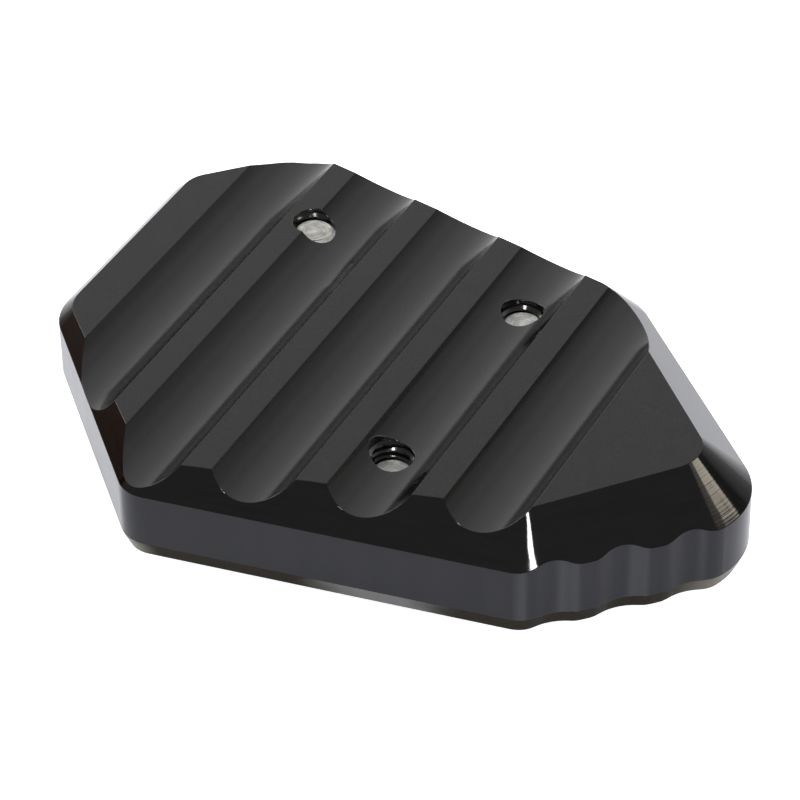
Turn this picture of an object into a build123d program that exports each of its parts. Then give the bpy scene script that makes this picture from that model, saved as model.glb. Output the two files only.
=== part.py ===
from build123d import *
import os
from math import cos, radians, sin, sqrt, tan

# Foot enlarger for a motorbike's side stand, lying with its grooved ground side up.
# A milled ground plate, a fork-shaped clamp plate under it that traps the stand's foot in a pocket,
# and three countersunk screws that come up through both, their ends in sight in the threaded holes.
# Plan places run from the tail edge along +X and from the rear corner along -Y, heights from the
# clamp plate's outer face, which the part lies on. The origin is then put under the middle of the part.

# Outline of the ground plate: its finished length, and the rest to its sharp corners
plate_length = 100.6      # tail edge to the rounded end of the nose
plate_width = 79.2        # rear corner to front corner
tail_width = 35.7         # straight edge at the tail
tail_rear_cut = 14.0      # 45 degree side from the tail to the rear corner, along each axis
tail_front_run = 28.0     # tail edge to the front corner
nose_from_rear = 47.1     # rear corner to the point of the nose, across the plate
nose_rear_cut = 34.7      # 45 degree side behind the nose, along each axis
nose_front_cut = 24.1     # 45 degree wavy side in front of the nose, along each axis

# Corner radii in plan
tail_front_radius = 9.0
tail_rear_radius = 6.0
rear_radius = 11.5
nose_rear_radius = 9.5
nose_radius = 11.5
nose_front_radius = 8.0
front_radius = 5.0

# Heights of the ground plate: a bevel, an upright wall, a 45 degree chamfer and a sloping top
bevel_height = 2.45
bevel_inset = 1.05
wall_height = 7.8
tail_thickness = 12.1     # hidden face to the top, at the tail edge
wedge_angle = 2.9         # the top rises towards the nose
chamfer_angle = 45.0

# Grooves across the top
groove_count = 5
groove_pitch = 15.0
groove_radius = 7.0
groove_depth = 2.65
first_groove = 13.7       # tail edge to the middle of the first groove

# Finger wave on the side in front of the nose
wave_count = 3
wave_pitch = 9.4
wave_first = 3.6          # sharp front corner of the nose to the first hollow
wave_radius = 6.0
wave_depth = 0.86
crest_radius = 4.5

# Screw pattern: two screws in the arms of the fork and one in its bridge
clamp_from_tail = 40.1    # middle of the arm screws
clamp_from_rear = 39.0
clamp_turn = 38.7         # the fork's own axis, towards its bridge, against +X
arm_screw_spacing = 53.2
bridge_screw_reach = 23.6

# Countersunk screws with a hexagon socket
thread_diameter = 6.0
screw_length = 16.0
head_diameter = 12.0
head_rim = 0.4
socket_width = 4.0        # across flats
socket_depth = 2.2
tip_chamfer = 0.6
tail_screw_out = 0.0      # how far each screw is backed out of its seat
bridge_screw_out = 0.85
front_screw_out = 1.65
thread_clearance = 0.05   # screw to threaded hole, on the radius
shank_clearance = 0.25    # screw to clamp plate, on the radius
head_clearance = 0.1      # head to countersink, on the radius

# Foot of the stand, and the pocket for it in the hidden face of the ground plate
foot_width = 41.0
foot_length = 41.0
foot_thickness = 4.8
foot_ahead = 14.5         # arm screws to the foot's end, towards the bridge
foot_corner = 7.5
foot_clearance = 0.5      # all round
foot_headroom = 0.2

# Clamp plate, a fork open to the side where the stand's leg comes in
clamp_thickness = 6.0
clamp_land = 1.4          # metal round each countersink
leg_width = 26.0
leg_clearance = 0.5
bridge_lip = 5.5          # the bridge's grip on the foot's end
head_recess = 1.7         # seated head below the outer face
clamp_chamfer = 1.0

# Height levels
hidden_z = clamp_thickness
wall_z = hidden_z + bevel_height
shoulder_z = wall_z + wall_height

# Sharp corners of the outline, where the two 45 degree sides of the nose meet ahead of its rounding
nose_point = plate_length + nose_radius * (sqrt(2) - 1)
tail_front = Vector(0, -tail_rear_cut - tail_width)
tail_rear = Vector(0, -tail_rear_cut)
rear = Vector(tail_rear_cut, 0)
nose_rear = Vector(nose_point - nose_rear_cut, nose_rear_cut - nose_from_rear)
nose = Vector(nose_point, -nose_from_rear)
nose_front = Vector(nose_point - nose_front_cut, -nose_from_rear - nose_front_cut)
front = Vector(tail_front_run, -plate_width)

# The sloping top as a plane, with its X axis up the slope and its origin above the tail edge
top = Plane(
    origin=(0, -plate_width / 2, hidden_z + tail_thickness),
    x_dir=(cos(radians(wedge_angle)), 0, sin(radians(wedge_angle))),
    z_dir=(-sin(radians(wedge_angle)), 0, cos(radians(wedge_angle))),
)

# The fork's own axes on the plate's hidden face, with X towards its bridge
clamp = Pos(clamp_from_tail, -clamp_from_rear, 0) * Rot(0, 0, clamp_turn)
screw_places = [
    (0, arm_screw_spacing / 2, tail_screw_out),
    (bridge_screw_reach, 0, bridge_screw_out),
    (0, -arm_screw_spacing / 2, front_screw_out),
]
head_radius = head_diameter / 2
thread_radius = thread_diameter / 2
pocket_width = foot_width + 2 * foot_clearance
pocket_length = foot_length + 2 * foot_clearance
pocket_end = foot_ahead + foot_clearance
slot_width = leg_width + 2 * leg_clearance


def rounded_outline():
    """Plan of the ground plate, anticlockwise from the tail."""
    corners = [tail_front, front, nose_front, nose, nose_rear, rear, tail_rear]
    radii = [
        tail_front_radius,
        front_radius,
        nose_front_radius,
        nose_radius,
        nose_rear_radius,
        rear_radius,
        tail_rear_radius,
    ]
    return make_face(FilletPolyline(*corners, radius=radii, close=True))


def waved(outline):
    """The same plan with the finger wave cut in its nose side and the crests rounded."""
    along = (nose - nose_front).normalized()
    outward = Vector(along.Y, -along.X)
    hollows = Sketch()
    for step in range(wave_count):
        middle = nose_front + along * (wave_first + step * wave_pitch)
        middle += outward * (wave_radius - wave_depth)
        hollows += Pos(middle) * Circle(wave_radius)
    cut = outline - hollows
    crests = [v for v in cut.vertices() if is_on_hollow(v, hollows)]
    return fillet(crests, crest_radius)


def is_on_hollow(vertex, hollows):
    """Whether a corner of the waved plan lies on the edge of a hollow."""
    return min(edge.distance_to(vertex) for edge in hollows.edges()) < 0.001


def grooves():
    """Round-bottomed cutters lying across the sloping top."""
    cutters = Part()
    for step in range(groove_count):
        place = Pos(first_groove + step * groove_pitch, 0, groove_radius - groove_depth)
        cutters += top * place * Rot(90, 0, 0) * Cylinder(groove_radius, 2 * plate_width)
    return cutters


def foot_pocket():
    """Room for the stand's foot in the hidden face, in the fork's axes."""
    plan = Pos(pocket_end - pocket_length / 2, 0) * RectangleRounded(
        pocket_length, pocket_width, foot_corner + foot_clearance
    )
    depth = foot_thickness + foot_headroom
    return clamp * Pos(0, 0, hidden_z) * extrude(plan, depth)


def make_ground_plate():
    """Bevel, wall and chamfered top, with the wave, the grooves, the pocket and the threaded holes."""
    plan = rounded_outline()
    wave_plan = waved(plan)
    rise = tail_thickness - bevel_height - wall_height + plate_length * tan(radians(wedge_angle))
    block = Pos(0, 0, hidden_z) * extrude(wave_plan, bevel_height + wall_height)
    hidden_face = block.faces().sort_by(Axis.Z)[0]
    block = chamfer(hidden_face.edges(), bevel_inset, bevel_height, reference=hidden_face)
    roof = Pos(0, 0, shoulder_z) * extrude(plan, rise, taper=chamfer_angle)
    roof &= Pos(0, 0, shoulder_z) * extrude(wave_plan, rise)
    body = split(block + roof, bisect_by=top, keep=Keep.BOTTOM)
    body -= grooves()
    body -= foot_pocket()
    for x, y, out in screw_places:
        bore = Cylinder(thread_radius + thread_clearance, 4 * shoulder_z)
        body -= clamp * Pos(x, y) * bore
    return body


def screw_profile():
    """Half section of a screw from its head face up, along X from its axis."""
    seat_height = head_rim + head_radius - thread_radius
    return make_face(
        Polyline(
            (0, 0),
            (head_radius, 0),
            (head_radius, head_rim),
            (thread_radius, seat_height),
            (thread_radius, screw_length - tip_chamfer),
            (thread_radius - tip_chamfer, screw_length),
            (0, screw_length),
            close=True,
        )
    )


def make_screw():
    """One screw, head face at zero and end upwards."""
    body = revolve(Plane.XZ * screw_profile(), Axis.Z)
    socket = extrude(RegularPolygon(socket_width / 2, 6, major_radius=False), socket_depth)
    return body - socket


def make_clamp_screws():
    """The three screws, each backed out by its own amount."""
    screws = []
    for x, y, out in screw_places:
        screws.append(clamp * Pos(x, y, head_recess - out) * make_screw())
    return screws


def countersink():
    """What is cut for one seated screw, from the outer face to the hidden face."""
    sink_radius = head_radius + head_clearance
    hole_radius = thread_radius + shank_clearance
    rim_z = head_recess + head_rim
    half = Polyline(
        (0, 0),
        (sink_radius, 0),
        (sink_radius, rim_z),
        (hole_radius, rim_z + sink_radius - hole_radius),
        (hole_radius, clamp_thickness),
        (0, clamp_thickness),
        close=True,
    )
    return revolve(Plane.XZ * make_face(half), Axis.Z)


def make_clamp_plate():
    """Fork round the stand's leg, with the screws sunk in its arms and bridge."""
    land = head_radius + head_clearance + clamp_land
    rounds = Sketch()
    for x, y, out in screw_places:
        rounds += Pos(x, y) * Circle(land)
    plan = make_hull(rounds.edges())
    slot_end = pocket_end - bridge_lip
    slot_length = 2 * plate_length
    slot = Pos(slot_end - slot_length / 2, 0) * SlotOverall(slot_length, slot_width)
    plan -= slot
    body = extrude(plan, clamp_thickness)
    outer_edges = body.faces().sort_by(Axis.Z)[0].edges()
    body = chamfer(outer_edges, clamp_chamfer)
    for x, y, out in screw_places:
        body -= Pos(x, y) * countersink()
    return clamp * body


# Build the pieces, put the origin under the middle of the part and write one file for each piece
middle = rounded_outline().bounding_box().center()
home = Pos(-middle.X, -middle.Y, 0)
os.makedirs("parts", exist_ok=True)
export_step(home * make_ground_plate(), "parts/ground_plate.step")
export_step(home * make_clamp_plate(), "parts/clamp_plate.step")
export_step(Compound(children=[home * screw for screw in make_clamp_screws()]), "parts/clamp_screws.step")
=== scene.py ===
import bpy
import bmesh
from math import cos, floor, hypot, pi, radians, sin, tan, tau
from mathutils import Matrix, Quaternion, Vector
from mathutils.bvhtree import BVHTree
from mathutils.interpolate import poly_3d_calc


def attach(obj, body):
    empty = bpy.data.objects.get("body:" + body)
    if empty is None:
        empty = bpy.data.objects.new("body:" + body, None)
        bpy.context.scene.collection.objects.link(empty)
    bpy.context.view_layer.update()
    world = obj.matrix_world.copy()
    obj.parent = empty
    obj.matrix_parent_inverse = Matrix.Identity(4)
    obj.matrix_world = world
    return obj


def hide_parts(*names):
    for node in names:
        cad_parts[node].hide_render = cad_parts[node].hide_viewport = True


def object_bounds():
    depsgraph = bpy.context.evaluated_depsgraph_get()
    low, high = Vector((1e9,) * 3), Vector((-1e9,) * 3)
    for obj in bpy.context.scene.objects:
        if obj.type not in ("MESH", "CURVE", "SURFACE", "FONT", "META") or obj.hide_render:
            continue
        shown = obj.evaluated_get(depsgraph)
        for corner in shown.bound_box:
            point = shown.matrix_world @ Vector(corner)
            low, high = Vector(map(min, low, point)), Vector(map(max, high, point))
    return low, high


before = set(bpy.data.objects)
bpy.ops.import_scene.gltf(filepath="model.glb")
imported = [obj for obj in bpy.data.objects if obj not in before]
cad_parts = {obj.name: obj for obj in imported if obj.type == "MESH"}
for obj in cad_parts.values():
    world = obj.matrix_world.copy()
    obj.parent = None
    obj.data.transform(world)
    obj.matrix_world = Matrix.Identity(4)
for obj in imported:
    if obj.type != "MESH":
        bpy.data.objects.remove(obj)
cad_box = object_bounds()
MM = 0.001

# Camera, solved from the edges and holes in the photograph
CAMERA_PLACE = Vector((172.632, -339.816, 305.628)) * MM
CAMERA_HEADING = radians(117.26)
CAMERA_DOWN = radians(37.63)
CAMERA_ROLL = radians(-0.715)
CAMERA_LENS = 161.574
CAMERA_CLIP = 10 * MM

# Cleaning of the CAD meshes
WELD = 0.001 * MM            # points nearer than this are one
FLAT = radians(0.4)          # faces that meet at less than this are one
NUDGE = 0.02 * MM            # step into a face before the solid's normal is read there
STRAY = cos(radians(8))      # a normal further from the face's own than this isn't used

# Edge rounding of the milled plates
EDGE_ROUND = 0.08 * MM
EDGE_STEPS = 3
EDGE_PROFILE = 0.5           # round
EDGE_ANGLE = radians(14)     # edges sharper than this are rounded

# M6 thread of the screws and holes
THREAD_PITCH = 1.0 * MM
THREAD_DEPTH = 0.54 * MM
THREAD_GAP = 0.05 * MM       # screw to hole, on the radius
TURN_STEPS = 96              # points round a screw or a hole
PITCH_STEPS = 14             # rings of a screw in one pitch
FLANK_GAIN = 1.35            # how steeply a screw's thread rises from root to crest
ROOT_FLAT = 0.12             # taken off that rise, which leaves the root flat
SCREW_CREASE = radians(25)
RIDGE_SECTION = [(-0.44, 0), (-0.125, 1), (0.125, 1), (0.44, 0)]  # pitches along, depths out
RIDGE_CUT = 0.5              # depth that a hole's thread gains with distance below its top
RIDGE_TURNS = 2              # turns of a hole's thread beside the screw
RIDGE_WELD = 0.0005 * MM
RIDGE_CREASE = radians(30)

# Rounded lip at the mouth of a hole
LIP_WIDTH = 0.14 * MM
LIP_HEIGHT = 2 * LIP_WIDTH
LIP_STEPS = 4
LIP_DROP = 0.15 * MM         # mouth to the top of the thread
IN_WALL = 0.02 * MM          # how far thread and lip reach into the hole's wall
MOUTH_REACH = 0.05 * MM      # hole to where the plate's face is felt
MOUTH_DROP = 0.01 * MM       # lip below the plate's face
PROBE_HEIGHT = 50 * MM       # from a screw's foot to well above the plate

# Screw, from its head face up
HEAD_TO_THREAD = 2           # radius of the head over that of the thread
HEAD_RIM = 0.4 * MM
HEAD_ROUND = 0.15 * MM
SOCKET_FLAT = 2.0 * MM       # axis to the flats of the hexagon
SOCKET_DEPTH = 2.2 * MM
TIP_FACE = 2.4 * MM
TIP_ROUND = 0.05 * MM
TIP_RIM = 2.22 * MM
DISH_RADIUS = 1.92 * MM
DISH_DROP = 0.14 * MM
DISH_FLOOR = DISH_RADIUS / 3
DISH_DEPTH = 1.3 * DISH_DROP

# Sloping top of the ground plate, above its tail edge
TOP_AT_TAIL = 18.1 * MM
TOP_SLOPE = tan(radians(2.9))
TOP_TOLERANCE = 0.02 * MM

# Finishes of a plate's faces, and what tells them apart
GROOVE, CHAMFER, WALL, BEVEL, LAND = range(5)
FACING_UP = 0.3              # upward part of a normal, above which a face is groove or chamfer
GROOVE_LEAN = 0.02           # most that a groove's normal leans along the groove
GROOVE_START = 4 * MM        # no groove is nearer the tail edge than this
BEVEL_LOW, BEVEL_HIGH = -0.6, -0.2  # the same, between which a face is bevel

# Dyes of the anodised skin, and their grain; the bluish and the brown ones hold painted sheen and
# reflection
DEEP_DYE = (0.0008, 0.0008, 0.0008, 1)
PALE_DYE = (0.0095, 0.0092, 0.0090, 1)
DARK_DYE = (0.0065, 0.0062, 0.0058, 1)
SIDE_DYE = (0.0040, 0.0038, 0.0036, 1)
# Colours of the walls: black oxide with painted bluish sheen of a cool light, mixed in random
# upright streaks
DYE_AND_BLUE_SHEEN = (0.0025, 0.0025, 0.0050, 1)
DYE_AND_PALE_BLUE_SHEEN = (0.0065, 0.0065, 0.0100, 1)
# Colours of the lower bevel: black oxide lifted to brown, a painted reflection of the warm shade
# under the plate
BROWN_SHADE_REFLECTION = (0.0215, 0.0175, 0.0100, 1)
TAN_SHADE_REFLECTION = (0.0290, 0.0240, 0.0145, 1)
CLOUD_GRAIN = (400, 400, 400)
FINE_GRAIN = (3600, 3600, 3600)
FINE_DEPTH = 0.002 * MM
NOISE_LOW, NOISE_HIGH = 0.3, 0.7  # where most of the noise lies

# Pale stretch and pale corners of the lower bevel, painted reflections of the lit table
BEVEL_GRAIN = (2500, 2500, 2500)
BEVEL_DEPTH = 0.001 * MM
BEVEL_TINT = (1.0, 0.82, 0.62, 1)
PAINTED_REFLECTION = (0.21, 0.21, 0.195, 1)
REFLECTION_MIDDLE = 11.5 * MM
REFLECTION_HALF = 13.0 * MM
REFLECTION_FULL = REFLECTION_HALF / 3
RAGGED_GRAIN = (300, 300, 300)
RAGGED_BY = 4 * MM
# Painted reflection of the lit table at two corners of the bevel: its colour, and where it lies
CORNER_REFLECTION = (0.24, 0.225, 0.185, 1)
REFLECTED_CORNERS = [
    # place, full within, gone at
    (Vector((50.3, -7.5, 7.2)) * MM, 3.5 * MM, 11.5 * MM),
    (Vector((-22.5, -38.5, 7.2)) * MM, 0.5 * MM, 4.5 * MM),
]

# Steel of the screws
DULL_STEEL = (0.28, 0.27, 0.25, 1)
BRIGHT_STEEL = (0.68, 0.67, 0.63, 1)
PATCH_GRAIN = (900, 900, 900)
PATCH_DETAIL = 4.0
PATCH_SHARE, RING_SHARE = 0.8, 0.2
STEEL_GRAIN = (700, 700, 700)
STEEL_ROUGHNESS = (0.28, 0.45)
STEEL_METALLIC = 0.5
RING_DEPTH = 0.012 * MM
RING_SCALE, RING_WOBBLE, RING_DETAIL = 7.0, 2.0, 2.0
RING_MIDDLE = (0.5, 0.5, 0)  # in shares of the screw's box

# White table, in metres, greyed away from the part by painted shade
TABLE_REACH = 0.28
TABLE_SIDES = 96
TABLE_DROP = 0.02 * MM
TABLE_COLOUR = (0.90, 0.91, 0.96, 1)
FAR_PAINTED_SHADE = (0.53, 0.53, 0.55, 1)
NEAR_EDGE, FAR_EDGE = 0.05, 0.15
TABLE_ROUGHNESS = 0.31
TABLE_IOR = 1.85
TABLE_SEEN, TABLE_MIRRORED = 0.84, 0.07

# Room round the table: a base tone, and soft areas that are paler or darker
ROOM_RADIUS = 2.5
ROOM_TURN_STEPS, ROOM_HEIGHT_STEPS = 48, 24
ROOM_TONE = 0.2
ROOM_AREAS = [
    # azimuth, height, full within, gone at, tone
    (120, 22, 22, 60, (0.69, 0.69, 0.70)),
    (58, 36, 6, 22, (0.25, 0.25, 0.25)),
    (46, 16, 3, 12, (-0.14, -0.14, -0.14)),
    (172, 8, 4, 26, (-0.2, -0.26, -0.28)),
    (68, 4, 5, 20, (0.1, 0.1, 0.1)),
]

# Colours of the lamps, tilt of the warm ones in degrees, and strength of the world's fill
WHITE = (1, 1, 1)
WARM = (1.0, 0.91, 0.74)
CREAM = (1.0, 0.95, 0.80)
COOL = (0.88, 0.91, 1.0)
STRIP_TILT = -31
FILL = 0.35


# Node helpers

def new_material(name):
    """An empty node material, its node tree and its output."""
    material = bpy.data.materials.new(name)
    material.use_nodes = True
    tree = material.node_tree
    tree.nodes.clear()
    return material, tree, tree.nodes.new("ShaderNodeOutputMaterial")


def math_node(tree, operation, first, second):
    """A maths node of two values, each a socket or a number."""
    node = tree.nodes.new("ShaderNodeMath")
    node.operation = operation
    for socket, value in zip(node.inputs, (first, second)):
        if isinstance(value, (int, float)):
            socket.default_value = value
        else:
            tree.links.new(value, socket)
    return node.outputs[0]


def vector_node(tree, operation, first):
    """A vector maths node fed by a socket."""
    node = tree.nodes.new("ShaderNodeVectorMath")
    node.operation = operation
    tree.links.new(first, node.inputs[0])
    return node


def own_place(tree):
    """Place in the object's own space."""
    return tree.nodes.new("ShaderNodeTexCoord").outputs["Object"]


def noise(tree, stretch, detail=2.0):
    """Noise in the object's own space, with a scale for each axis."""
    mapping = tree.nodes.new("ShaderNodeMapping")
    mapping.inputs["Scale"].default_value = stretch
    tree.links.new(own_place(tree), mapping.inputs["Vector"])
    node = tree.nodes.new("ShaderNodeTexNoise")
    node.inputs["Scale"].default_value = 1.0
    node.inputs["Detail"].default_value = detail
    tree.links.new(mapping.outputs["Vector"], node.inputs["Vector"])
    return node.outputs["Fac"]


def ramp(tree, value, start, end, low=0.0, high=1.0):
    """A value's run from start to end as a run from low to high."""
    node = tree.nodes.new("ShaderNodeMapRange")
    node.inputs["From Min"].default_value = start
    node.inputs["From Max"].default_value = end
    node.inputs["To Min"].default_value = low
    node.inputs["To Max"].default_value = high
    tree.links.new(value, node.inputs["Value"])
    return node.outputs["Result"]


def fade(tree, value, gone, full):
    """An amount that grows softly from 0 where a value is gone to 1 where it is full."""
    amount = ramp(tree, value, gone, full)
    amount.node.interpolation_type = "SMOOTHSTEP"
    return amount


def spread(tree, value, low, high):
    """A noise value spread over a range."""
    return ramp(tree, value, NOISE_LOW, NOISE_HIGH, low, high)


def mixed(tree, amount, first, second):
    """Two colours, the first a socket or a colour, mixed by an amount."""
    node = tree.nodes.new("ShaderNodeMix")
    node.data_type = "RGBA"
    colours = [socket for socket in node.inputs if socket.type == "RGBA"]
    for socket, colour in zip(colours, (first, second)):
        if isinstance(colour, tuple):
            socket.default_value = colour
        else:
            tree.links.new(colour, socket)
    tree.links.new(amount, node.inputs["Factor"])
    return [socket for socket in node.outputs if socket.type == "RGBA"][0]


def bump(tree, height, depth):
    """A bump from a height, with its depth in metres."""
    node = tree.nodes.new("ShaderNodeBump")
    node.inputs["Strength"].default_value = 1.0
    node.inputs["Distance"].default_value = depth
    tree.links.new(height, node.inputs["Height"])
    return node.outputs["Normal"]


# Materials

def anodised(name, dyes_and_painted_light, roughness, speckle, marks, depth, ior):
    """Black anodised aluminium: a dyed oxide skin that keeps the cutter's marks, in colours that
    for the walls hold painted sheen and for the bevel painted reflection.
    """
    material, tree, output = new_material(name)
    shader = tree.nodes.new("ShaderNodeBsdfPrincipled")
    shader.inputs["IOR"].default_value = ior
    amount = spread(tree, noise(tree, speckle), 0.0, 1.0)
    tree.links.new(mixed(tree, amount, *dyes_and_painted_light), shader.inputs["Base Color"])
    cloud = noise(tree, CLOUD_GRAIN)
    tree.links.new(spread(tree, cloud, *roughness), shader.inputs["Roughness"])
    tree.links.new(bump(tree, noise(tree, marks), depth), shader.inputs["Normal"])
    tree.links.new(shader.outputs["BSDF"], output.inputs["Surface"])
    return material


def groove_finish():
    """Satin hollows of the grooves."""
    return anodised(
        "anodised_groove",
        dyes_and_painted_light=(DEEP_DYE, DARK_DYE),
        roughness=(0.155, 0.18),
        speckle=FINE_GRAIN,
        marks=FINE_GRAIN,
        depth=FINE_DEPTH,
        ior=1.5,
    )


def chamfer_finish():
    """Glossy chamfer, with the cutter's level marks."""
    return anodised(
        "anodised_chamfer",
        dyes_and_painted_light=(SIDE_DYE, DARK_DYE),
        roughness=(0.07, 0.11),
        speckle=(120, 120, 5000),
        marks=(25, 25, 3200),
        depth=0.006 * MM,
        ior=1.5,
    )


def wall_finish():
    """Upright walls, with the cutter's upright marks, and a painted bluish sheen in random upright
    streaks.
    """
    return anodised(
        "anodised_wall",
        dyes_and_painted_light=(DYE_AND_BLUE_SHEEN, DYE_AND_PALE_BLUE_SHEEN),
        roughness=(0.12, 0.17),
        speckle=(300, 300, 20),
        marks=(900, 900, 60),
        depth=FINE_DEPTH,
        ior=1.42,
    )


def land_finish():
    """Satin lands between the grooves."""
    return anodised(
        "anodised_land",
        dyes_and_painted_light=(DEEP_DYE, PALE_DYE),
        roughness=(0.38, 0.42),
        speckle=FINE_GRAIN,
        marks=FINE_GRAIN,
        depth=FINE_DEPTH,
        ior=1.42,
    )


def thread_finish():
    """Thread and lip of the holes, which shine more than the rest."""
    return anodised(
        "anodised_thread",
        dyes_and_painted_light=(DEEP_DYE, PALE_DYE),
        roughness=(0.12, 0.2),
        speckle=FINE_GRAIN,
        marks=FINE_GRAIN,
        depth=FINE_DEPTH,
        ior=1.7,
    )


def bevel_finish():
    """Lower bevel, black oxide painted brown as a reflection of the warm shade under the plate,
    with painted reflections of the lit table on one stretch and two corners.
    """
    material = anodised(
        "anodised_bevel",
        dyes_and_painted_light=(BROWN_SHADE_REFLECTION, TAN_SHADE_REFLECTION),
        roughness=(0.15, 0.2),
        speckle=BEVEL_GRAIN,
        marks=BEVEL_GRAIN,
        depth=BEVEL_DEPTH,
        ior=1.08,
    )
    tree = material.node_tree
    shader = tree.nodes["Principled BSDF"]
    shader.inputs["Specular Tint"].default_value = BEVEL_TINT
    dye_and_reflections = shader.inputs["Base Color"].links[0].from_socket
    place = own_place(tree)
    # Painted reflection of the lit table on a stretch of the front side
    dye_and_reflections = mixed(tree, painted_reflection_amount(tree, place), dye_and_reflections, PAINTED_REFLECTION)
    # Painted reflections of the lit table at two corners
    for spot, full, gone in REFLECTED_CORNERS:
        away = vector_node(tree, "DISTANCE", place)
        away.inputs[1].default_value = spot
        amount = fade(tree, away.outputs["Value"], gone, full)
        dye_and_reflections = mixed(tree, amount, dye_and_reflections, CORNER_REFLECTION)
    tree.links.new(dye_and_reflections, shader.inputs["Base Color"])
    return material


def painted_reflection_amount(tree, place):
    """How much painted reflection of the lit table the bevel gets: all in the middle of the front
    side, with ragged ends.
    """
    apart = tree.nodes.new("ShaderNodeSeparateXYZ")
    tree.links.new(place, apart.inputs[0])
    beside = math_node(tree, "SUBTRACT", apart.outputs["X"], REFLECTION_MIDDLE)
    beside = math_node(tree, "ABSOLUTE", beside, 0)
    ragged = math_node(tree, "MULTIPLY", noise(tree, RAGGED_GRAIN), RAGGED_BY)
    along = fade(tree, math_node(tree, "ADD", beside, ragged), REFLECTION_HALF, REFLECTION_FULL)
    front = math_node(tree, "LESS_THAN", apart.outputs["Y"], 0)
    return math_node(tree, "MULTIPLY", along, front)


def turned_rings(tree):
    """Fine rings about a screw's own axis, as a lathe leaves them."""
    coordinates = tree.nodes.new("ShaderNodeTexCoord")
    centred = vector_node(tree, "SUBTRACT", coordinates.outputs["Generated"])
    centred.inputs[1].default_value = RING_MIDDLE
    node = tree.nodes.new("ShaderNodeTexWave")
    node.wave_type = "RINGS"
    node.rings_direction = "Z"
    node.inputs["Scale"].default_value = RING_SCALE
    node.inputs["Distortion"].default_value = RING_WOBBLE
    node.inputs["Detail Scale"].default_value = RING_DETAIL
    tree.links.new(centred.outputs[0], node.inputs["Vector"])
    return node.outputs["Fac"]


def steel():
    """Turned screw steel, mottled with dull patches."""
    material, tree, output = new_material("machined_steel")
    shader = tree.nodes.new("ShaderNodeBsdfPrincipled")
    shader.inputs["Metallic"].default_value = STEEL_METALLIC
    patches = spread(tree, noise(tree, PATCH_GRAIN, PATCH_DETAIL), 0.0, 1.0)
    rings = turned_rings(tree)
    worn = math_node(
        tree,
        "ADD",
        math_node(tree, "MULTIPLY", patches, PATCH_SHARE),
        math_node(tree, "MULTIPLY", rings, RING_SHARE),
    )
    tree.links.new(mixed(tree, worn, DULL_STEEL, BRIGHT_STEEL), shader.inputs["Base Color"])
    cloud = noise(tree, STEEL_GRAIN)
    tree.links.new(spread(tree, cloud, *STEEL_ROUGHNESS), shader.inputs["Roughness"])
    tree.links.new(bump(tree, rings, RING_DEPTH), shader.inputs["Normal"])
    tree.links.new(shader.outputs["BSDF"], output.inputs["Surface"])
    return material


# Pieces

def new_piece(name, build, materials):
    """A mesh piece from a bmesh, riding on the part."""
    mesh = bpy.data.meshes.new(name)
    build.to_mesh(mesh)
    build.free()
    for material in materials:
        mesh.materials.append(material)
    piece = bpy.data.objects.new(name, mesh)
    bpy.context.scene.collection.objects.link(piece)
    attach(piece, "root")
    return piece


def smooth_faces(build, crease):
    """Smooth shading, with edges sharper than a crease left sharp."""
    for face in build.faces:
        face.smooth = True
    for edge in build.edges:
        edge.smooth = edge.calc_face_angle(0) < crease


def around(radius, angle, height):
    """Point at a radius, an angle and a height about the origin."""
    return Vector((radius * cos(angle), radius * sin(angle), height))


def turn_angles():
    """Angles of one turn."""
    return [tau * i / TURN_STEPS for i in range(TURN_STEPS)]


def solid_shading(node):
    """A function that gives the true surface normal of a node's solid at a place on it."""
    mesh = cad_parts[node].data
    places = [v.co.copy() for v in mesh.vertices]
    polygons = [list(p.vertices) for p in mesh.polygons]
    starts = [p.loop_start for p in mesh.polygons]
    normals = [n.vector.copy() for n in mesh.corner_normals]
    tree = BVHTree.FromPolygons(places, polygons)

    def normal_at(point):
        place, flat, index, gap = tree.find_nearest(point)
        weights = poly_3d_calc([places[i] for i in polygons[index]], place)
        total = Vector()
        for step, weight in enumerate(weights):
            total += weight * normals[starts[index] + step]
        return total.normalized()

    return normal_at


def is_hole_edge(edge, axes):
    """Whether an edge lies on the wall of a screw hole."""
    for middle, length, head_radius in axes:
        reach = head_radius / HEAD_TO_THREAD + 2 * THREAD_GAP
        if all(hypot(v.co.x - middle.x, v.co.y - middle.y) < reach for v in edge.verts):
            return True
    return False


def sharp_edges(build):
    """Edges of a plate to round: the sharp ones, but not the rims of the screw holes."""
    axes = screw_places()
    sharp = []
    for edge in build.edges:
        if not edge.is_manifold or edge.calc_face_angle(0) <= EDGE_ANGLE:
            continue
        if not is_hole_edge(edge, axes):
            sharp.append(edge)
    return sharp


def rounded_copy(node):
    """A node's solid as clean faces with its sharp edges rounded, and the faces so made."""
    build = bmesh.new()
    build.from_mesh(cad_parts[node].data)
    bmesh.ops.remove_doubles(build, verts=build.verts, dist=WELD)
    bmesh.ops.dissolve_limit(build, angle_limit=FLAT, verts=build.verts, edges=build.edges)
    rounded = bmesh.ops.bevel(
        build,
        geom=sharp_edges(build),
        offset=EDGE_ROUND,
        offset_type="OFFSET",
        segments=EDGE_STEPS,
        profile=EDGE_PROFILE,
        affect="EDGES",
        clamp_overlap=False,
    )
    return build, set(rounded["faces"])


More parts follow.
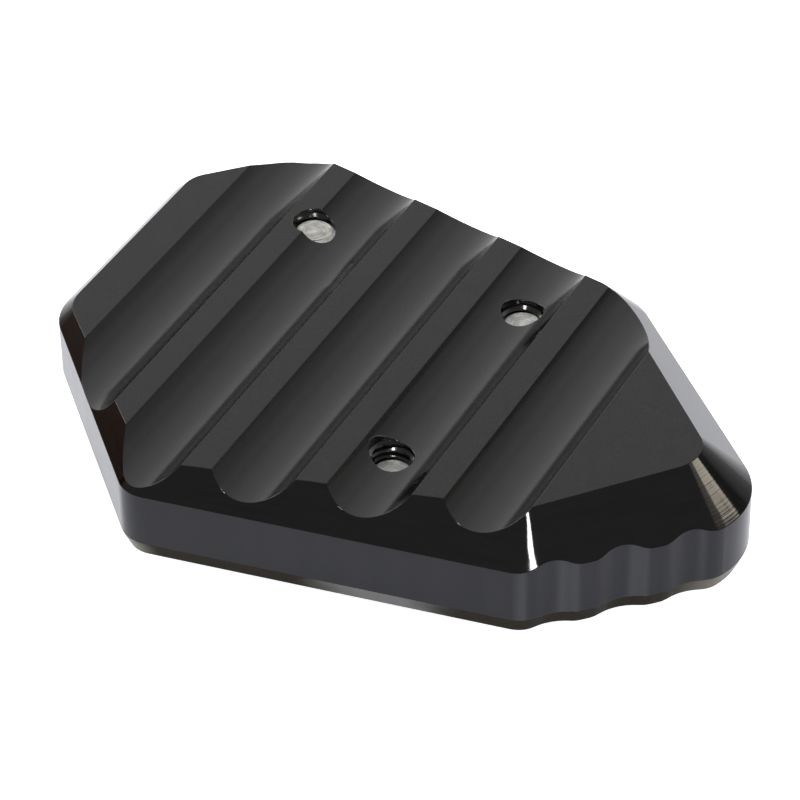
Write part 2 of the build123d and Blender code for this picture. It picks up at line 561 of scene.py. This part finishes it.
def corner_shading(build, strips, normal_at):
    """Shading normals corner by corner: the solid's own on its faces, turning over the edges."""
    true_normals = {}
    corners = {}
    for face in build.faces:
        face.smooth = True
        if face in strips:
            continue
        middle = face.calc_center_median()
        for loop in face.loops:
            inward = middle - loop.vert.co
            nudge = inward.normalized() * min(NUDGE, inward.length / 2)
            true = normal_at(loop.vert.co + nudge)
            corners[loop] = true if true.dot(face.normal) > STRAY else face.normal.copy()
            true_normals.setdefault(loop.vert, corners[loop])
    for face in strips:
        for loop in face.loops:
            corners[loop] = true_normals.get(loop.vert) or strip_normal(loop.vert)
    build.faces.index_update()
    return [corners[loop] for face in build.faces for loop in face.loops]


def strip_normal(vert):
    """Normal inside a rounded edge."""
    total = Vector()
    for face in vert.link_faces:
        total += face.normal * face.calc_area()
    return total.normalized()


def finish_of(face):
    """Which finish a plate's face has."""
    up = face.normal.z
    middle = face.calc_center_median()
    from_tail = middle.x - cad_box[0][0]
    if abs(middle.z - TOP_AT_TAIL - TOP_SLOPE * from_tail) < TOP_TOLERANCE:
        return LAND
    if up > FACING_UP:
        in_groove = abs(face.normal.y) < GROOVE_LEAN and from_tail > GROOVE_START
        return GROOVE if in_groove else CHAMFER
    return BEVEL if BEVEL_LOW < up < BEVEL_HIGH else WALL


def make_plate(node, finishes):
    """A milled plate in place of its solid, each of its faces in its own finish."""
    build, strips = rounded_copy(node)
    shading = corner_shading(build, strips, solid_shading(node))
    for face in build.faces:
        face.material_index = finish_of(face)
    piece = new_piece(node + "_body", build, finishes)
    piece.data.normals_split_custom_set(shading)
    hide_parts(node)


def ring_mesh(rings):
    """A closed skin over rings of as many points each."""
    build = bmesh.new()
    rows = [[build.verts.new(point) for point in ring] for ring in rings]
    for low, high in zip(rows, rows[1:]):
        for i in range(len(low)):
            j = (i + 1) % len(low)
            build.faces.new((low[i], low[j], high[j], high[i]))
    build.faces.new(reversed(rows[0]))
    build.faces.new(rows[-1])
    bmesh.ops.recalc_face_normals(build, faces=build.faces)
    return build


def thread_wave(turns):
    """Height of a screw's thread from root 0 to crest 1, by turns along it."""
    phase = turns - floor(turns)
    rise = 1 - abs(2 * phase - 1)
    return min(1, max(0, FLANK_GAIN * rise - ROOT_FLAT))


def screw_places():
    """Foot on the axis, length and head radius of each screw solid in the CAD node."""
    build = bmesh.new()
    build.from_mesh(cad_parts["clamp_screws"].data)
    bmesh.ops.remove_doubles(build, verts=build.verts, dist=WELD)
    left = set(build.verts)
    places = []
    while left:
        group, grow = set(), [left.pop()]
        while grow:
            vert = grow.pop()
            group.add(vert)
            for edge in vert.link_edges:
                other = edge.other_vert(vert)
                if other in left:
                    left.discard(other)
                    grow.append(other)
        xs, ys, zs = zip(*[v.co for v in group])
        middle = Vector(((min(xs) + max(xs)) / 2, (min(ys) + max(ys)) / 2, min(zs)))
        places.append((middle, max(zs) - min(zs), (max(xs) - min(xs)) / 2))
    build.free()
    return sorted(places, key=lambda place: place[0].x)


def hexagon(angle):
    """Distance from the axis to the side of the hexagon socket."""
    return SOCKET_FLAT / cos((angle + pi / 6) % (pi / 3) - pi / 6)


def level_ring(middle, radius, height):
    """Ring of points at one height, its radius by angle."""
    return [middle + around(radius(a), a, height) for a in turn_angles()]


def head_rings(middle, head_radius, thread_radius, seat):
    """Rings from the floor of the socket round the head to the seat."""
    head = [
        (hexagon, SOCKET_DEPTH),
        (hexagon, HEAD_ROUND),
        (lambda a: hexagon(a) + HEAD_ROUND, 0),
        (lambda a: head_radius - HEAD_ROUND, 0),
        (lambda a: head_radius, HEAD_ROUND),
        (lambda a: head_radius, HEAD_RIM),
        (lambda a: thread_radius, seat),
    ]
    return [level_ring(middle, radius, height) for radius, height in head]


def thread_rings(middle, length, thread_radius, seat):
    """Rings up the thread, which runs out at the head and on the cone of the tip."""
    top = length - TIP_ROUND
    steps = int((top - seat) / THREAD_PITCH * PITCH_STEPS)
    rings = []
    for k in range(1, steps + 1):
        height = seat + (top - seat) * k / steps
        cone = TIP_FACE + length - height
        start = min(1, (height - seat) / THREAD_PITCH)
        ring = []
        for a in turn_angles():
            cut = THREAD_DEPTH * start * (1 - thread_wave(height / THREAD_PITCH - a / tau))
            ring.append(middle + around(min(thread_radius - cut, cone), a, height))
        rings.append(ring)
    return rings


def tip_rings(middle, length):
    """Rings over the tip into its shallow dish."""
    tip = [
        (lambda a: TIP_FACE - TIP_ROUND, length),
        (lambda a: TIP_RIM, length),
        (lambda a: DISH_RADIUS, length - DISH_DROP),
        (lambda a: DISH_FLOOR, length - DISH_DEPTH),
    ]
    return [level_ring(middle, radius, height) for radius, height in tip]


def make_screws(material):
    """The three screws, with thread, chamfered tip and hexagon socket, in place of their solids."""
    for index, (middle, length, head_radius) in enumerate(screw_places()):
        thread_radius = head_radius / HEAD_TO_THREAD
        seat = HEAD_RIM + head_radius - thread_radius
        rings = head_rings(middle, head_radius, thread_radius, seat)
        rings += thread_rings(middle, length, thread_radius, seat)
        rings += tip_rings(middle, length)
        build = ring_mesh(rings)
        smooth_faces(build, SCREW_CREASE)
        piece = new_piece(f"clamp_screw_{index + 1}", build, [material])
        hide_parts("clamp_screws")


def plate_tree():
    """Search tree of the ground plate's solid."""
    build = bmesh.new()
    build.from_mesh(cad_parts["ground_plate"].data)
    tree = BVHTree.FromBMesh(build)
    build.free()
    return tree


def mouth_height(tree, middle, angle, radius):
    """Height of the plate's face just outside a hole."""
    above = middle + around(radius, angle, PROBE_HEIGHT)
    hit = tree.ray_cast(above, Vector((0, 0, -1)))
    return hit[0].z


def thread_row(angle, height, bore, mouth):
    """Section of a hole's thread ridge at one place, cut back steeply below the lip."""
    room = mouth - LIP_DROP
    row = []
    for along, out in RIDGE_SECTION:
        z = min(room, height + along * THREAD_PITCH)
        ridge = min(out * THREAD_DEPTH, (room - z) * RIDGE_CUT)
        row.append(around(bore + IN_WALL - ridge, angle, z))
    return row


def lip_row(angle, bore, mouth):
    """Section of the rounded lip at a hole's mouth."""
    wall = bore + IN_WALL
    row = []
    for step in range(LIP_STEPS + 1):
        turn = pi / 2 * step / LIP_STEPS
        z = mouth - LIP_WIDTH * (1 - cos(turn))
        row.append(around(wall - LIP_WIDTH * sin(turn), angle, z))
    row.append(around(wall, angle, mouth - LIP_HEIGHT))
    return row


def skin(build, rows, offset):
    """Faces between neighbouring rows of points, moved by an offset."""
    verts = [[build.verts.new(offset + point) for point in row] for row in rows]
    for low, high in zip(verts, verts[1:]):
        for i in range(len(low) - 1):
            build.faces.new((low[i], high[i], high[i + 1], low[i + 1]))


def make_hole_threads(material):
    """Thread ridges inside the three holes, from the screws up to a rounded lip at the mouth."""
    tree = plate_tree()
    angles = turn_angles()
    for index, (middle, length, head_radius) in enumerate(screw_places()):
        bore = head_radius / HEAD_TO_THREAD + THREAD_GAP
        across = Vector((middle.x, middle.y, 0))
        felt = [mouth_height(tree, middle, a, bore + MOUTH_REACH) for a in angles]
        mouths = [height - MOUTH_DROP for height in felt]
        lip = [lip_row(a, bore, mouth) for a, mouth in zip(angles, mouths)]
        start = middle.z + length - RIDGE_TURNS * THREAD_PITCH
        turns = (max(mouths) - start) / THREAD_PITCH + 1
        thread = []
        for k in range(int(turns * TURN_STEPS)):
            height = start + k / TURN_STEPS * THREAD_PITCH
            step = k % TURN_STEPS
            thread.append(thread_row(angles[step], height, bore, mouths[step]))
        build = bmesh.new()
        skin(build, thread, across)
        skin(build, lip + lip[:1], across)
        bmesh.ops.remove_doubles(build, verts=build.verts, dist=RIDGE_WELD)
        bmesh.ops.recalc_face_normals(build, faces=build.faces)
        smooth_faces(build, RIDGE_CREASE)
        new_piece(f"hole_thread_{index + 1}", build, [material])


# Stage

def direction(azimuth, elevation):
    """Unit vector at an angle from +X and a height, in degrees."""
    a, e = radians(azimuth), radians(elevation)
    return Vector((cos(a) * cos(e), sin(a) * cos(e), sin(e)))


def ray_kinds(tree):
    """Whether a ray comes from the camera, and whether by a reflection or through glass."""
    path = tree.nodes.new("ShaderNodeLightPath").outputs
    mirror = math_node(tree, "MAXIMUM", path["Is Glossy Ray"], path["Is Transmission Ray"])
    return path["Is Camera Ray"], mirror


def table_material():
    """White satin, greyer away from the part by painted shade, that shows the camera a white
    ground.
    """
    material, tree, output = new_material("white_table")
    satin = tree.nodes.new("ShaderNodeBsdfPrincipled")
    satin.inputs["Roughness"].default_value = TABLE_ROUGHNESS
    satin.inputs["IOR"].default_value = TABLE_IOR
    away = vector_node(tree, "LENGTH", own_place(tree))
    # Painted shade: the table greys outwards from near the part
    falloff_shade = ramp(tree, away.outputs["Value"], NEAR_EDGE, FAR_EDGE)
    tree.links.new(mixed(tree, falloff_shade, TABLE_COLOUR, FAR_PAINTED_SHADE), satin.inputs["Base Color"])
    camera, mirror = ray_kinds(tree)
    seen = math_node(tree, "MULTIPLY", camera, TABLE_SEEN)
    mirrored = math_node(tree, "MULTIPLY", mirror, TABLE_MIRRORED)
    glow = tree.nodes.new("ShaderNodeEmission")
    tree.links.new(math_node(tree, "ADD", seen, mirrored), glow.inputs["Strength"])
    both = tree.nodes.new("ShaderNodeAddShader")
    tree.links.new(satin.outputs[0], both.inputs[0])
    tree.links.new(glow.outputs[0], both.inputs[1])
    tree.links.new(both.outputs[0], output.inputs["Surface"])
    return material


def make_floor():
    """Round white table that keeps the part's soft shadow."""
    mesh = bpy.data.meshes.new("floor")
    turns = [tau * i / TABLE_SIDES for i in range(TABLE_SIDES)]
    rim = [around(TABLE_REACH, turn, -TABLE_DROP) for turn in turns]
    mesh.from_pydata(rim, [], [range(TABLE_SIDES)])
    mesh.materials.append(table_material())
    floor_object = bpy.data.objects.new("floor", mesh)
    bpy.context.scene.collection.objects.link(floor_object)
    return floor_object


def room_material():
    """Glow of the room: a base tone, with the tones of the soft areas added by direction."""
    material, tree, output = new_material("room_tones")
    outward = vector_node(tree, "NORMALIZE", own_place(tree)).outputs[0]
    base = tree.nodes.new("ShaderNodeCombineXYZ")
    for socket in base.inputs:
        socket.default_value = ROOM_TONE
    total = base.outputs[0]
    for azimuth, height, inner, outer, tone in ROOM_AREAS:
        facing = vector_node(tree, "DOT_PRODUCT", outward)
        facing.inputs[1].default_value = direction(azimuth, height)
        edges = cos(radians(outer)), cos(radians(inner))
        tinted = tree.nodes.new("ShaderNodeVectorMath")
        tinted.operation = "SCALE"
        tinted.inputs[0].default_value = tone
        tree.links.new(fade(tree, facing.outputs["Value"], *edges), tinted.inputs["Scale"])
        joined = vector_node(tree, "ADD", total)
        tree.links.new(tinted.outputs[0], joined.inputs[1])
        total = joined.outputs[0]
    glow = tree.nodes.new("ShaderNodeEmission")
    tree.links.new(total, glow.inputs["Color"])
    tree.links.new(glow.outputs[0], output.inputs["Surface"])
    return material


def make_room():
    """Dim room round the table, which only reflections show."""
    build = bmesh.new()
    bmesh.ops.create_uvsphere(
        build,
        u_segments=ROOM_TURN_STEPS,
        v_segments=ROOM_HEIGHT_STEPS,
        radius=ROOM_RADIUS,
    )
    mesh = bpy.data.meshes.new("room")
    build.to_mesh(mesh)
    build.free()
    mesh.materials.append(room_material())
    room = bpy.data.objects.new("room", mesh)
    bpy.context.scene.collection.objects.link(room)
    room.visible_camera = False
    room.visible_diffuse = False
    room.visible_shadow = False


def make_lamp(
    name, azimuth, height, distance, size, radiance, colour=WHITE, tilt=0, mirrored=True
):
    """A softbox that faces the part. Angles are in degrees, the tilt about the line to the part."""
    light = bpy.data.lights.new(name, "AREA")
    light.shape = "RECTANGLE"
    light.size, light.size_y = size
    light.energy = radiance * pi * size[0] * size[1]
    light.color = colour
    lamp = bpy.data.objects.new(name, light)
    lamp.location = direction(azimuth, height) * distance
    facing = (-lamp.location).to_track_quat("-Z", "Y")
    lamp.rotation_euler = (facing @ Quaternion((0, 0, 1), radians(tilt))).to_euler()
    lamp.visible_glossy = mirrored
    bpy.context.scene.collection.objects.link(lamp)
    return lamp


def make_table_sheen(table):
    """A front light that only the table catches, for the soft sheen that the waved side mirrors."""
    only = bpy.data.collections.new("table_only")
    only.objects.link(table)
    lamp = make_lamp(
        "table_sheen",
        azimuth=-57, height=38, distance=1.0, size=(0.42, 0.2), radiance=17, colour=COOL,
    )
    lamp.light_linking.receiver_collection = only


def make_lamps():
    """A large soft overhead light, and smaller lamps for the glints on corners and in holes."""
    make_lamp(
        "overhead_softbox",
        azimuth=145, height=68, distance=1.2, size=(0.9, 0.9), radiance=3.6, mirrored=False,
    )
    make_lamp(
        "corner_strip",
        azimuth=-47, height=49, distance=1.0, size=(0.13, 0.10), radiance=40,
    )
    make_lamp(
        "warm_strip",
        azimuth=30, height=29, distance=1.0, size=(0.33, 0.10), radiance=6.5,
        colour=WARM, tilt=STRIP_TILT,
    )
    make_lamp(
        "warm_edge",
        azimuth=16, height=35.6, distance=1.0, size=(0.14, 0.10), radiance=1.0,
        colour=WARM, tilt=STRIP_TILT,
    )
    make_lamp(
        "left_strip",
        azimuth=162, height=32, distance=1.0, size=(0.22, 0.36), radiance=5, colour=CREAM,
    )
    make_lamp(
        "ceiling_lamp",
        azimuth=-60, height=81, distance=1.2, size=(0.1, 0.1), radiance=50,
    )


def make_world():
    """White surroundings for the camera and reflections, and a soft fill."""
    world = bpy.data.worlds.new("studio")
    bpy.context.scene.world = world
    world.use_nodes = True
    tree = world.node_tree
    background = tree.nodes["Background"]
    background.inputs["Color"].default_value = (*WHITE, 1)
    seen = math_node(tree, "MAXIMUM", *ray_kinds(tree))
    tree.links.new(math_node(tree, "MAXIMUM", seen, FILL), background.inputs["Strength"])


def make_camera():
    """Camera at the photograph's place and angle."""
    forward = Vector((
        cos(CAMERA_HEADING) * cos(CAMERA_DOWN),
        sin(CAMERA_HEADING) * cos(CAMERA_DOWN),
        -sin(CAMERA_DOWN),
    ))
    level = Vector((sin(CAMERA_HEADING), -cos(CAMERA_HEADING), 0))
    upright = level.cross(forward)
    right = level * cos(CAMERA_ROLL) + upright * sin(CAMERA_ROLL)
    up = right.cross(forward)
    data = bpy.data.cameras.new("photo_camera")
    data.lens = CAMERA_LENS
    data.clip_start = CAMERA_CLIP
    camera = bpy.data.objects.new("photo_camera", data)
    turn = Matrix((right, up, -forward)).transposed()
    camera.matrix_world = Matrix.Translation(CAMERA_PLACE) @ turn.to_4x4()
    bpy.context.scene.collection.objects.link(camera)
    bpy.context.scene.camera = camera


# In the order of GROOVE, CHAMFER, WALL, BEVEL and LAND
finishes = [groove_finish(), chamfer_finish(), wall_finish(), bevel_finish(), land_finish()]
make_plate("ground_plate", finishes)
make_plate("clamp_plate", finishes)
make_screws(steel())
make_hole_threads(thread_finish())
make_table_sheen(make_floor())
make_room()
make_world()
make_lamps()
make_camera()
bpy.context.scene.view_settings.view_transform = "Standard"
